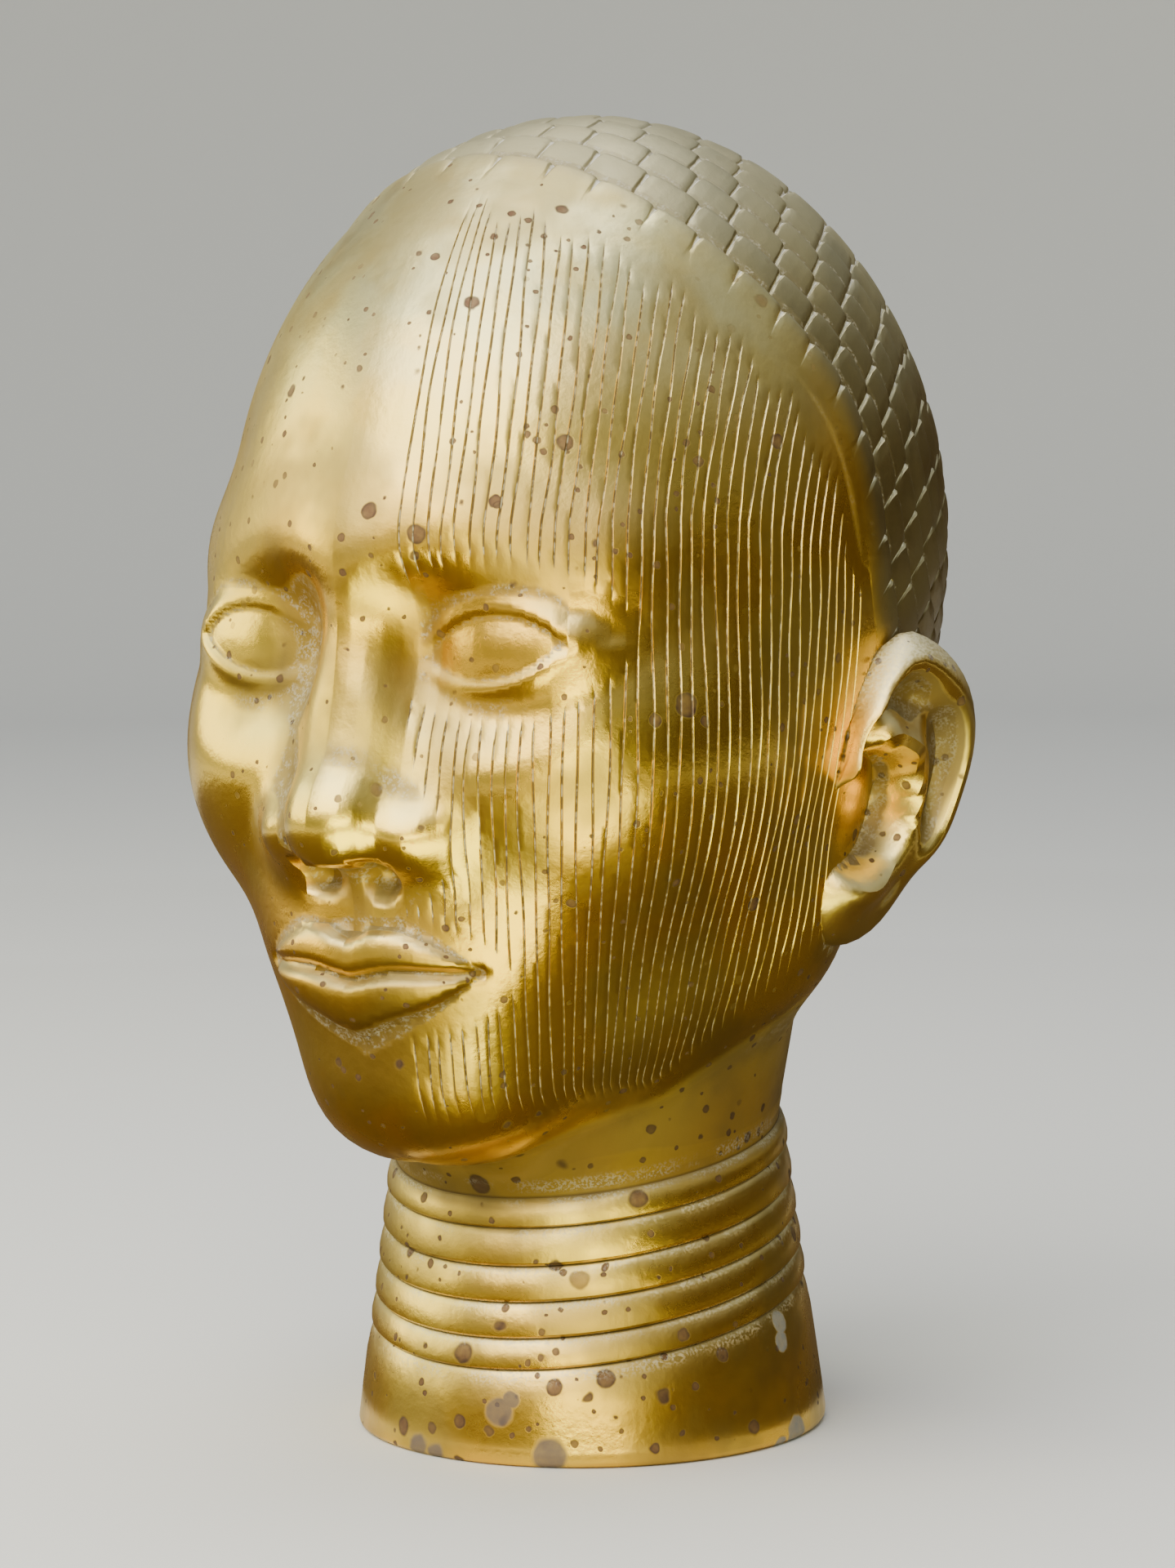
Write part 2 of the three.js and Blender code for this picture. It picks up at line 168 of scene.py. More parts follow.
lines = {
    "count": 44,                      # places for a line, from the middle of the face to the left ear
    "first": 5,
    "pitch": 1.78,                    # degrees
    "pitchGrowth": 0.2,
    "halfWidth": 0.2,                 # degrees
    "depth": 0.4,
    "straightFrom": 35.0,             # seen from this many degrees round to the left, the lines are straight
    "lean": 7.0,                      # degrees from upright, over the brow
    "gap": 7.0,                       # from the hairline to the ends of the lines
}


def neckRadius(z):
    heights, radii = zip(*head["neckOutline"])
    return np.interp(z, heights, radii)


def eyeForm(x, q, z):
    across = (x - head["eye"][0]) / head["eyeHalfWidth"]
    up = z - head["eye"][2] - 1.6 * across
    inside = np.clip(1 - across ** 2, 0, None)
    opening = np.maximum(up - 8.2 * inside ** 0.75, -6.2 * inside ** 0.85 - up)
    beyond = np.clip(np.abs(across) - 1, 0, None) * head["eyeHalfWidth"]
    opening = np.where(beyond > 0, np.sqrt(np.clip(opening, 0, None) ** 2 + beyond ** 2), opening)
    lid = smoothStep((opening + 0.6) / 1.8)
    rim = bell(opening - 2.6, 1.3)
    fold = smoothStep((up + 2) / 4) * bell(opening - 7.4, 1.6)
    return egg(q, head["eye"], (24.0, 18.0, 17.5)) - 1.5 * lid - 0.5 * rim + 1.2 * fold


def noseForm(q):
    bridge = limb(q, (0, -75, 197), (0, -88, 154), 7.5, 10.5)
    tip = join(bridge, egg(q, (0, -92, 147.0), (11.2, 11.2, 11.2)), 8)
    return join(tip, egg(q, (14.5, -82.5, 145.0), (9.5, 12.0, 8.4)), 6)


def lipSwell(x, y, z):
    across = x / head["mouthHalfWidth"]
    inside = np.clip(1 - across ** 2, 0, None)
    seam = head["mouthHeight"] - 1.3 * bell(x, 6) + 0.6 * bell(x - 12, 7) + 0.6 * across ** 2
    upper = 11 * inside ** 0.75 * (1 - 0.13 * bell(x, 4.5)) + 0.7
    lower = 12.4 * inside ** 0.85 + 0.7
    up = z - seam
    share = np.clip(np.where(up > 0, up / upper, -up / lower), 0, 1)
    plump = np.sqrt(np.clip(1 - ((share - 0.36) / 0.66) ** 2, 0, None)) * smoothStep((1 - share) / 0.2)
    full = 4.3 * inside ** 0.45 * np.where(up > 0, 0.86, 1.0)
    crease = 1.8 * bell(up, 1.5) * smoothStep((1.14 - across) / 0.2)
    return smoothStep((-52 - y) / 12) * (plump * full - crease)


def headForm(p):
    x = np.sqrt(p[0] * p[0] + 0.04)
    y, z = p[1], p[2]
    q = (x, y, z)
    d = egg(q, *head["skull"])
    for change, form, sizes, soft in head["forms"]:
        d = change(d, form(q, *sizes), soft)
    d = join(d, eyeForm(x, q, z), 4)
    d = join(d, noseForm(q), 10)
    d = carve(d, egg(q, *head["nostril"]), 3)
    d = carve(d, limb(q, *head["lipGroove"]), 6)
    d = d - lipSwell(x, y, z)
    neck = (np.sqrt(p[0] ** 2 + (y - head["neckSetBack"]) ** 2) - neckRadius(z)) * 0.98
    return join(d, np.maximum(neck, z - 120), 14)


# The surface is found along rays. A ray has a turn, round from the face to the left, and a level:
# 0 at the whorl of the hair, 1 at the hairline, 1.8 under the jaw, 2 at the top of the neck, 3 at its foot.

rayStart = np.array(head["rayStart"])
chinRayStart = np.array(head["chinRayStart"])
tilt = math.radians(head["whorlTilt"])
whorlAxis = np.array([0, math.sin(tilt), math.cos(tilt)])
whorlFront = np.array([0, -math.cos(tilt), math.sin(tilt)])
leftward = np.array([1.0, 0, 0])


def column(values):
    return np.asarray(values)[:, None]


def unit(vectors):
    return vectors / np.linalg.norm(vectors, axis=-1, keepdims=True)


def wrapped(turn):
    return (turn + np.pi) % (2 * np.pi) - np.pi


def hairlineAngle(turn):
    away = np.abs(np.degrees(wrapped(turn)))
    return np.radians(80 + 20 * smoothStep((away - 60) / 50) - 3 * smoothStep((away - 120) / 60))


def hairDirection(turn, level):
    angle = level * hairlineAngle(turn)
    side = column(np.cos(turn)) * whorlFront + column(np.sin(turn)) * leftward
    return column(np.cos(angle)) * whorlAxis + column(np.sin(angle)) * side


def jawPoint(turn):
    front, side, back = (np.array(head[name]) for name in ("jawFront", "jawSide", "jawBack"))
    middle = (front + back) / 2
    sag = np.array([0, side[1], side[2]]) - middle
    around = column(np.cos(turn)) * (front - back) / 2 + column(np.sin(turn)) * side * leftward
    return middle + around + column(np.sin(turn) ** 2) * sag


def neckPoint(turn, height):
    slope = head["ringSlope"] * np.clip(height / 25, 0, 1)
    reach = neckRadius(height) + 3
    return np.stack([reach * np.sin(turn), head["neckSetBack"] - reach * np.cos(turn),
                     height - slope * reach * np.cos(turn)], 1)


def turnBetween(a, b, share):
    angle = np.arccos(np.clip((a * b).sum(-1), -1, 1))
    between = column(np.sin((1 - share) * angle)) * a + column(np.sin(share * angle)) * b
    return between / column(np.sin(angle) + 1e-9)


def faceStart(turn):
    return rayStart + column(np.clip(0.62 + 0.62 * np.cos(turn), 0.12, 1)) * (chinRayStart - rayStart)


def leaned(turn, rise):               # where a line that is upright below the brow has come to at this rise
    centre = math.radians(lines["straightFrom"])
    across = np.sin(turn - centre) + math.tan(math.radians(lines["lean"])) * np.sin(rise)
    there = centre + np.arcsin(np.clip(across / np.cos(rise), -1, 1))
    return turn + (there - turn) * smoothStep(turn / centre) * (rise > 0)


def edgeTable():                      # hair turns, and the face turns that they meet on the hairline
    hairTurns = np.linspace(0, np.pi, 361)
    edge = hairDirection(hairTurns, np.ones(361))
    bearing, rise = np.arctan2(edge[:, 0], -edge[:, 1]), np.arcsin(edge[:, 2])
    tries = np.linspace(0, math.radians(100), 801)
    met = [np.interp(bearing[i], leaned(tries, rise[i]), tries) for i in range(361)]
    return hairTurns, np.where(rise > 0, met, bearing)


edgeHairTurns, edgeFaceTurns = edgeTable()


def toHairTurn(turn):
    near = wrapped(turn)
    return turn - near + np.sign(near) * np.interp(np.abs(near), edgeFaceTurns, edgeHairTurns)


def faceRays(turn, share):
    turned = wrapped(turn)
    away = np.degrees(np.abs(turned))
    chin = head["chinShare"]
    brow = head["browShare"] * smoothStep((90 - away) / 40)
    start = faceStart(turn)
    edge = hairDirection(toHairTurn(turned), np.ones(len(turn)))
    toJaw = unit(jawPoint(turn) - start)
    sideOrigin = rayStart + column(share) * (start - rayStart)
    sideDirection = turnBetween(edge, toJaw, share)
    edgeRise = np.arcsin(edge[:, 2])
    settle = np.where(edgeRise > 0, np.maximum(brow, 0.001), 0.6)
    rise = edgeRise * np.clip(1 - share / settle, 0, None)
    bearing = np.sign(turned) * leaned(np.abs(turned), rise)
    level = np.stack([np.sin(bearing) * np.cos(rise), -np.cos(bearing) * np.cos(rise), np.sin(rise)], 1)
    frontDirection = turnBetween(level, toJaw, np.clip((share - chin) / (1 - chin), 0, None))
    falling = np.clip((share - brow) / (chin - brow), 0, 1)
    frontOrigin = rayStart + column(falling) * (start - rayStart)
    lift = 12 * brow / head["browShare"]
    frontOrigin[:, 2] += lift * np.minimum(1, share / np.maximum(brow, 0.001)) * (1 - falling)
    front = column(smoothStep((112 - away) / 22))
    origin = sideOrigin + (frontOrigin - sideOrigin) * front
    return origin, unit(sideDirection + (frontDirection - sideDirection) * front)


def raysAt(turn, level):
    count = len(turn)
    origin = np.tile(rayStart, (count, 1))
    direction = np.zeros((count, 3))
    reach = np.full(count, 150.0)
    inHair = level <= 1
    direction[inHair] = hairDirection(turn[inHair], level[inHair])
    onFace = (level > 1) & (level <= 1.8)
    origin[onFace], direction[onFace] = faceRays(turn[onFace], (level[onFace] - 1) / 0.8)
    neckAxis = np.array([0, head["neckSetBack"], 0])
    rising = np.array([0, 0, 1.0])
    for below in ((level > 1.8) & (level <= 2), level > 2):
        around = turn[below]
        share = column(np.clip((level[below] - 1.8) / 0.2, 0, 1))
        height = head["neckTop"] * np.minimum(1, 3 - level[below])
        target = jawPoint(around) * (1 - share) + neckPoint(around, height) * share
        origin[below] = faceStart(around) * (1 - share) + (neckAxis + column(height) * rising) * share
        direction[below] = unit(target - origin[below])
        reach[below] = np.linalg.norm(target - origin[below], axis=1) + 6
    return origin, direction, reach


def castHead(turn, level):
    origin, direction, distance = raysAt(turn, level)
    for step in range(26):
        distance = distance - 0.85 * headForm((origin + direction * column(distance)).T)
    for step in range(4):
        points = origin + direction * column(distance)
        gap = headForm(points.T)
        slope = np.clip((headForm((points + direction * 0.05).T) - gap) / 0.05, 0.15, 2)
        distance = distance - np.clip(gap / slope, -1, 1)
    return origin + direction * column(distance), direction


# Columns of the head's mesh: four to a line on the left of the face, and even ones round the rest.

def headColumns():
    places = np.arange(lines["count"] + 1)
    spots = np.radians(lines["pitch"] * places + lines["pitchGrowth"] * places ** 2 / lines["count"])
    width = math.radians(lines["halfWidth"])
    turns, lineAt = [], []
    for i in range(lines["count"]):
        turns += [spots[i] - width, spots[i], spots[i] + width, (spots[i] + spots[i + 1]) / 2]
        lineAt += [-1, i, -1, -1]
    backCount, rightCount = head["backColumns"], head["rightColumns"]
    tries = np.linspace(0, 2 * np.pi, 2881)
    evenly = 0.12 * tries + 0.88 * toHairTurn(tries)
    first = np.interp(spots[-1] - width, tries, evenly)
    right = 2 * math.pi - math.radians(92)
    share = np.arange(rightCount) / rightCount
    last = 2 * math.pi - width - right
    places = list(np.linspace(first, right, backCount, endpoint=False))
    places += list(right + last * (share + 0.16 * share * (1 - share)))
    turns += list(np.interp(places, evenly, tries))
    lineAt += [-1] * (backCount + rightCount)
    return np.array(turns), np.array(lineAt)


def tileJoints(course):               # turns of the cuts between the tiles of a course
    level = 1 - (course + 0.5) / hair["courses"]
    around = 2 * math.pi * hair["reach"] * math.sin(level * math.radians(84))
    number = max(5, round(around / hair["tile"]))
    places = np.arange(number)
    return 2 * math.pi * (places + 0.37 + 0.5 * (course % 2) + 0.07 * np.sin(2.4 * places + course)) / number


# Moves the columns next to each cut onto its middle and its sides, and says how far each column is from it.

def besideJoints(turns, joints, half, share):
    natural = np.concatenate([turns - 2 * np.pi, turns, turns + 2 * np.pi])
    cuts = np.sort(np.concatenate([joints - 2 * np.pi, joints, joints + 2 * np.pi]))
    cuts = cuts[(cuts > natural[8]) & (cuts < natural[-9])]
    middles = (cuts[1:] + cuts[:-1]) / 2
    knots = [int(np.argmin(np.abs(natural - middle))) for middle in middles]
    shifts = [0.0] * len(knots)
    for cut in cuts:
        centre = int(np.argmin(np.abs(natural - cut)))
        before = min(int(np.argmin(np.abs(natural - natural[centre] + half))), centre - 1)
        behind = max(int(np.argmin(np.abs(natural - natural[centre] - half))), centre + 1)
        knots += [before, centre, behind]
        shifts += [cut - half - natural[before], cut - natural[centre], cut + half - natural[behind]]
    order = np.argsort(knots, kind="stable")
    moved = natural + share * np.interp(natural, natural[np.array(knots)[order]], np.array(shifts)[order])
    after = np.clip(np.searchsorted(cuts, moved), 1, len(cuts) - 1)
    along = (moved - cuts[after - 1]) / (cuts[after] - cuts[after - 1])
    apart = np.minimum(np.abs(moved - cuts[after - 1]), np.abs(cuts[after] - moved))
    middle = slice(len(turns), 2 * len(turns))
    return moved[middle], apart[middle], np.clip(along[middle], 0, 1)


def faceLevels():
    levels = np.linspace(1.001, 2.0, 400)
    points, _ = castHead(np.full(400, math.radians(20)), levels)
    z = points[:, 2]
    close = sum(share * bell(z - height, width) for height, width, share in head["closeRows"])
    spacing = head["rowSpacing"] / (1 + close)
    lengths = np.linalg.norm(np.diff(points, axis=0), axis=1) / ((spacing[1:] + spacing[:-1]) / 2)
    run = np.concatenate([[0], np.cumsum(lengths)])
    return np.interp(np.linspace(0, run[-1], int(run[-1]), endpoint=False), run, levels)


def headRows():
    rows = []                         # level, relief, course and place in the course
    for course in reversed(range(hair["courses"])):
        for place, height in reversed(hair["profile"]):
            if course == hair["courses"] - 1 and place > 0.9:
                continue
            if course == 0 and place < 0.1:
                height = 0.0
            rows.append((1 - (course + place) / hair["courses"], height * hair["step"], course, place))
    rows += [(level, 0.0, -1, 0.0) for level in faceLevels()[1:]]
    neck = head["neckTop"]
    groove = head["ringGroove"]
    heights = [(neck - 2, 0.0), (neck - 4, -0.25 * groove), (neck - 6, -0.6 * groove)]
    edges = head["ringEdges"]
    for top, foot in zip(edges[:-1], edges[1:]):
        heights += [(top - place * (top - foot), -depth * groove) for place, depth in head["ringProfile"]]
    foot = edges[-1]
    heights += [(foot, -1.0 * groove), (foot - 0.5, -0.75 * groove), (foot - 1.6, -0.5 * groove)]
    heights += [(foot - 4, -0.2 * groove), (foot - 8, 0.0), (foot - 13, 0.0), (foot - 18, 0.0), (5, 0.0)]
    rounding = head["underside"]
    for a in np.radians([0, 30, 60, 90]):
        heights.append((rounding * (1 - math.sin(a)), -rounding * (1 - math.cos(a))))
    rows += [(3 - height / neck, relief, -2, height) for height, relief in heights]
    return rows


def lineDepth(points, levels, number):
    x, z = points[..., 0], points[..., 2]
    depth = smoothStep((1.735 - levels) / 0.04)
    depth = depth * (0.85 + 0.15 * np.sin(z / 5.1 + 2.3 * number))
    eye = np.sqrt(((x - 32.5) / 25) ** 2 + ((z - 187) / 17) ** 2)
    depth = depth * smoothStep((eye - 1) / 0.12)
    noseHalf = np.interp(z, [124, 130, 138, 150, 158, 176, 200, 212], [0, 16, 24, 23, 17, 11, 9, 0])
    depth = depth * smoothStep((np.abs(x) - noseHalf) / 2)
    mouth = np.sqrt((x / 32) ** 2 + ((z - 114) / 14.5) ** 2)
    return depth * smoothStep((mouth - 1) / 0.12)


def headMesh():
    faceTurns, lineAt = headColumns()
    hairTurns = toHairTurn(faceTurns)
    rows = headRows()
    levels = np.array([row[0] for row in rows])
    count, around = len(rows), len(faceTurns)
    print("  rows", count, "columns", around)
    turns = np.zeros((count, around))
    relief = np.tile(column([row[1] for row in rows]), (1, around))
    cuts, seams, rings = (np.zeros((count, around)) for _ in range(3))
    number = np.minimum(np.arange(around) // 4, lines["count"])
    onLeft = smoothStep(number / 3) * smoothStep((lines["count"] - number) / 3)
    for r, (level, _, course, place) in enumerate(rows):
        if course < 0:
            wave = 0.14 * np.sin(level * 21 + 1.7 * number) + 0.10 * np.sin(level * 47 + 2.9 * number)
            wave = wave * onLeft * smoothStep((level - 1) / 0.03) * smoothStep((1.8 - level) / 0.1)
            turns[r] = faceTurns + np.radians(wave)
            rings[r] = max(0.0, -rows[r][1] / head["ringGroove"]) if course == -2 and place > 22 else 0
            continue
        size = hair["reach"] * math.sin(level * math.radians(84))
        notch = (hair["notchHalfWidth"] if place > 0.8 else hair["cutHalfWidth"]) / size
        share = smoothStep(place / 0.4) if course == 0 else 1.0
        joints = tileJoints(course)
        half = min(notch, 0.15 * (joints[1] - joints[0]))
        turns[r], apart, along = besideJoints(hairTurns, joints, half, share)
        deep = np.interp(place, [0.0, 0.1, 0.3, 0.62, 1], [0.1, 0.3, 0.75, 1, 1])
        if course == 0:
            deep = np.interp(place, [0.3, 0.6, 0.85], [0, 0.7, 1])
        cuts[r] = np.clip(1 - apart / notch, 0, 1) * deep
        seams[r] = 1.0 if place < 0.1 and course > 0 else 0.0
        swell = (1 - (2 * along - 1) ** 4) * smoothStep((place + 0.1) / 0.4) - 0.6
        relief[r] += hair["crown"] * swell * deep
        relief[r] -= cuts[r] * hair["cutDepth"] + (0.18 * bell(apart * size, 1.6) if place > 0.9 else 0)
        relief[r] += hair["rim"] * bell(np.degrees(turns[r]) - 74, 20) * bell(level - 0.975, 0.04)
    flatTurns, flatLevels = turns.ravel(), np.repeat(levels, around)
    points, directions = castHead(flatTurns, flatLevels)
    points = points.reshape(count, around, 3)
    directions = directions.reshape(count, around, 3)
    edge = int(np.argmax(levels > 1))
    gap = np.linalg.norm(points - points[edge], axis=2) * (levels[:, None] > 1)
    started = smoothStep((gap - lines["gap"] - 2.5 * np.sin(5.1 * number)) / 2)
    depth = lineDepth(points, levels[:, None], number) * (lineAt >= lines["first"]) * started
    grooves = np.clip(depth, 0, 1)
    relief -= lines["depth"] * depth
    points = points + directions * relief[..., None]
    aside = smoothStep((np.degrees(np.abs(wrapped(turns))) - 45) / 35)
    cap = smoothStep((0.97 + 0.05 * aside - levels[:, None]) / 0.07)
    return points, {"cut": cuts, "seam": seams, "line": grooves, "ring": rings, "cap": cap}


def shapedSphere(name, around, count, place):
    bpy.ops.object.select_all(action="DESELECT")
    bpy.ops.mesh.primitive_uv_sphere_add(segments=around, ring_count=count + 1, radius=1)
    piece = bpy.context.object
    piece.name = name
    sphere = np.empty(3 * len(piece.data.vertices), np.float32)
    piece.data.vertices.foreach_get("co", sphere)
    sphere = sphere.reshape(-1, 3).astype(float)
    row = np.rint(np.arccos(np.clip(sphere[:, 2], -1, 1)) / np.pi * (count + 1)).astype(int)
    col = np.rint(np.arctan2(sphere[:, 1], sphere[:, 0]) / (2 * np.pi) * around).astype(int) % around
    points = place(row, col) / 1000
    piece.data.vertices.foreach_set("co", points.astype(np.float32).ravel())
    piece.data.update()
    return piece, row, col


def headPiece():
    points, masks = headMesh()
    count, around = points.shape[:2]
    flat = []
    for share in (0.7, 0.35):         # rings across the flat underside
        ring = points[-1] * [share, share, 1] + [0, head["neckSetBack"] * (1 - share), 0]
        flat.append(ring)
    points = np.concatenate([points, flat])
    masks = {name: np.concatenate([mask, np.zeros((2, around))]) for name, mask in masks.items()}
    whorl, _ = castHead(np.zeros(1), np.zeros(1))
    whorl = whorl[0] + whorlAxis * hair["step"] * 0.9
    foot = np.array([0, head["neckSetBack"], points[-1, 0, 2]])

    def place(row, col):
        inner = np.clip(row - 1, 0, len(points) - 1)
        made = points[inner, col]
        made[row == 0] = whorl
        made[row == len(points) + 1] = foot
        return made

    piece, row, col = shapedSphere("brassHead", around, len(points), place)
    inner = np.clip(row - 1, 0, len(points) - 1)
    return piece, {name: mask[inner, col] for name, mask in masks.items()}


# Ears

ear = {
    "centre": (72.6, 6.3, 148.5),     # of the left ear
    "up": (0.2, 0.22, 0.96),
    "back": (0.34, 0.94, 0.0),
    "backReach": 26,                  # from the centre to the edge
    "frontReach": 12.5,
    "topReach": 37,
    "footReach": 35,
    "rollHeight": 4.2,                # of the rolled rim
    "bowlDepth": 8.0,
    "columns": 64,
    "rows": 43,
}


def bump(a, b, a0, b0, radius):
    return np.exp(-((a - a0) ** 2 + (b - b0) ** 2) / radius ** 2)


def ridge(a, b, start, end, width):
    da, db = end[0] - start[0], end[1] - start[1]
    share = np.clip(((a - start[0]) * da + (b - start[1]) * db) / (da * da + db * db), 0, 1)
    return np.exp(-((a - start[0] - da * share) ** 2 + (b - start[1] - db * share) ** 2) / width ** 2)


def turnFrom(t, centre):
    return wrapped(t - centre)


def earOutline(t):
    a, b = np.cos(t), np.sin(t)
    along = a / np.where(a > 0, ear["backReach"], ear["frontReach"])
    upward = b / np.where(b > 0, ear["topReach"], ear["footReach"])
    reach = 1 / np.sqrt(along ** 2 + upward ** 2)
    reach = reach + 4.0 * bell(turnFrom(t, 0.85), 0.5) + 2.5 * bell(turnFrom(t, 2.1), 0.4)
    return reach - 3.8 * bell(turnFrom(t, 5.55), 0.42) - 1.0 * bell(turnFrom(t, 4.1), 0.3)


def earHeight(a, b, share, t):
    along = smoothStep((turnFrom(t, 1.2) + 2.3) / 0.7) * smoothStep((2.1 - turnFrom(t, 1.2)) / 0.5)
    topFront = bell(turnFrom(t, 2.0), 0.85)
    roll = ear["rollHeight"] * (1 + 0.8 * topFront) * bell(share - 0.86, 0.115 + 0.05 * topFront) * along
    channel = -2.4 * bell(share - 0.64, 0.11) * smoothStep((turnFrom(t, 1.0) + 1.55) / 0.6)
    channel = channel * smoothStep((1.3 - turnFrom(t, 1.0)) / 0.5)
    inner = np.sqrt(((a + 1.0) / 13.5) ** 2 + ((b + 3.5) / 16.5) ** 2)
    innerRim = 3.0 * bell((inner - 1.08) * 14, 3.6) * smoothStep((a + 8) / 6)
    bowl = -ear["bowlDepth"] * smoothStep((1.0 - inner) / 0.55)
    fork = 2.4 * ridge(a, b, (6, 13), (9, 25), 3.4) + 1.9 * ridge(a, b, (4, 13), (-8, 19), 3.0)
    root = 3.2 * ridge(a, b, (-10, 4), (-1, 0.5), 3.6)
    flap = 5.0 * ridge(a, b, (-10.5, -3), (-8.5, -9), 4.8)
    low = 2.4 * bump(a, b, 4.0, -18.5, 5.5) - 2.5 * bump(a, b, -5.5, -17, 4.0)
    lobe = 3.0 * bump(a, b, 0.5, -27, 8.5)
    return roll + channel + innerRim + bowl + fork + root + flap + low + lobe


def earPiece():
    up = unit(np.array(ear["up"]))
    back = np.array(ear["back"])
    back = unit(back - up * (back @ up))
    out = np.cross(back, up)

    def place(row, col):
        angle = row / (ear["rows"] + 1) * np.pi
        t = col / ear["columns"] * 2 * np.pi
        share = np.clip(np.sin(angle), 0, 1) ** 0.85
        reach = earOutline(t) * share
        a, b = reach * np.cos(t), reach * np.sin(t)
        edge = np.sqrt(np.clip(1 - share ** 7, 0, None))
        front = edge * (2.2 + earHeight(a, b, share, t))
        behind = -edge * 3.0 - 15 * smoothStep((0.78 - share) / 0.6)
        height = np.where(angle <= np.pi / 2, front, behind)
        return np.array(ear["centre"]) + column(a) * back + column(b) * up + column(height) * out

    return shapedSphere("earLeft", ear["columns"], ear["rows"], place)[0]


def mirrored(piece, name):
    bpy.ops.object.select_all(action="DESELECT")
    piece.select_set(True)
    bpy.context.view_layer.objects.active = piece
    bpy.ops.object.duplicate()
    other = bpy.context.object
    other.name = name
    other.scale = (-1, 1, 1)
    bpy.ops.object.transform_apply(location=False, rotation=False, scale=True)
    bpy.ops.object.mode_set(mode="EDIT")
    bpy.ops.mesh.select_all(action="SELECT")
    bpy.ops.mesh.normals_make_consistent(inside=False)
    bpy.ops.object.mode_set(mode="OBJECT")
    return other


def vertexPoints(mesh):
    points = np.empty(3 * len(mesh.vertices), np.float32)
    mesh.vertices.foreach_get("co", points)
    return points.reshape(-1, 3).astype(float)


def joinEars(piece, masks, ears):
    source = vertexPoints(piece.data)
    earPoints = np.concatenate([vertexPoints(e.data) for e in ears])
    tree = KDTree(len(source) + len(earPoints))
    for i, point in enumerate(np.concatenate([source, earPoints])):
        tree.insert(point, i)
    tree.balance()
    values = {name: np.concatenate([mask, np.zeros(len(earPoints))]) for name, mask in masks.items()}
    values["ear"] = np.concatenate([np.zeros(len(source)), np.ones(len(earPoints))])
    bpy.ops.object.select_all(action="DESELECT")
    piece.select_set(True)
    bpy.context.view_layer.objects.active = piece
    for other in ears:
        union = piece.modifiers.new("union", "BOOLEAN")
        union.operation = "UNION"
        union.solver = "MANIFOLD"
        union.object = other
        bpy.ops.object.modifier_apply(modifier=union.name)
        bpy.data.objects.remove(other)
    closest = [tree.find(point)[1] for point in vertexPoints(piece.data)]
    return {name: value[closest] for name, value in values.items()}


def hollowness(mesh, rounds):
    points = vertexPoints(mesh)
    edges = np.empty(2 * len(mesh.edges), np.int32)
    mesh.edges.foreach_get("vertices", edges)
    edges = edges.reshape(-1, 2)
    starts, ends = np.concatenate([edges[:, 0], edges[:, 1]]), np.concatenate([edges[:, 1], edges[:, 0]])
    degree = np.bincount(starts, minlength=len(points))
    smooth = points.copy()
    for step in range(rounds):
        around = [np.bincount(starts, weights=smooth[ends, axis], minlength=len(points)) for axis in range(3)]
        smooth = 0.5 * smooth + 0.5 * np.stack(around, 1) / column(degree)
    normals = np.empty(3 * len(points), np.float32)
    mesh.vertices.foreach_get("normal", normals)
    return 1000 * ((smooth - points) * normals.reshape(-1, 3)).sum(1)


print("head")
piece, masks = headPiece()
print("ears")
leftEar = earPiece()
rightEar = mirrored(leftEar, "earRight")
masks = joinEars(piece, masks, [leftEar, rightEar])
masks["hollow"] = hollowness(piece.data, 90)
masks["crease"] = hollowness(piece.data, 6)
for name, values in masks.items():
    layer = piece.data.attributes.new(name, "FLOAT", "POINT")
    layer.data.foreach_set("value", values.astype(np.float32))
bpy.ops.object.select_all(action="DESELECT")
piece.select_set(True)
bpy.context.view_layer.objects.active = piece
bpy.ops.object.shade_smooth_by_angle(angle=math.radians(40))
flatten = piece.modifiers.new("flatten", "WEIGHTED_NORMAL")   # keeps the land between the lines flat
flatten.mode = "FACE_AREA"
flatten.weight = 50
flatten.keep_sharp = True
bpy.ops.object.modifier_apply(modifier=flatten.name)
triangles = sum(len(face.vertices) - 2 for face in piece.data.polygons)
print("  triangles", triangles)


# Materials. A Link is a socket; used in an expression, it adds the Math nodes.

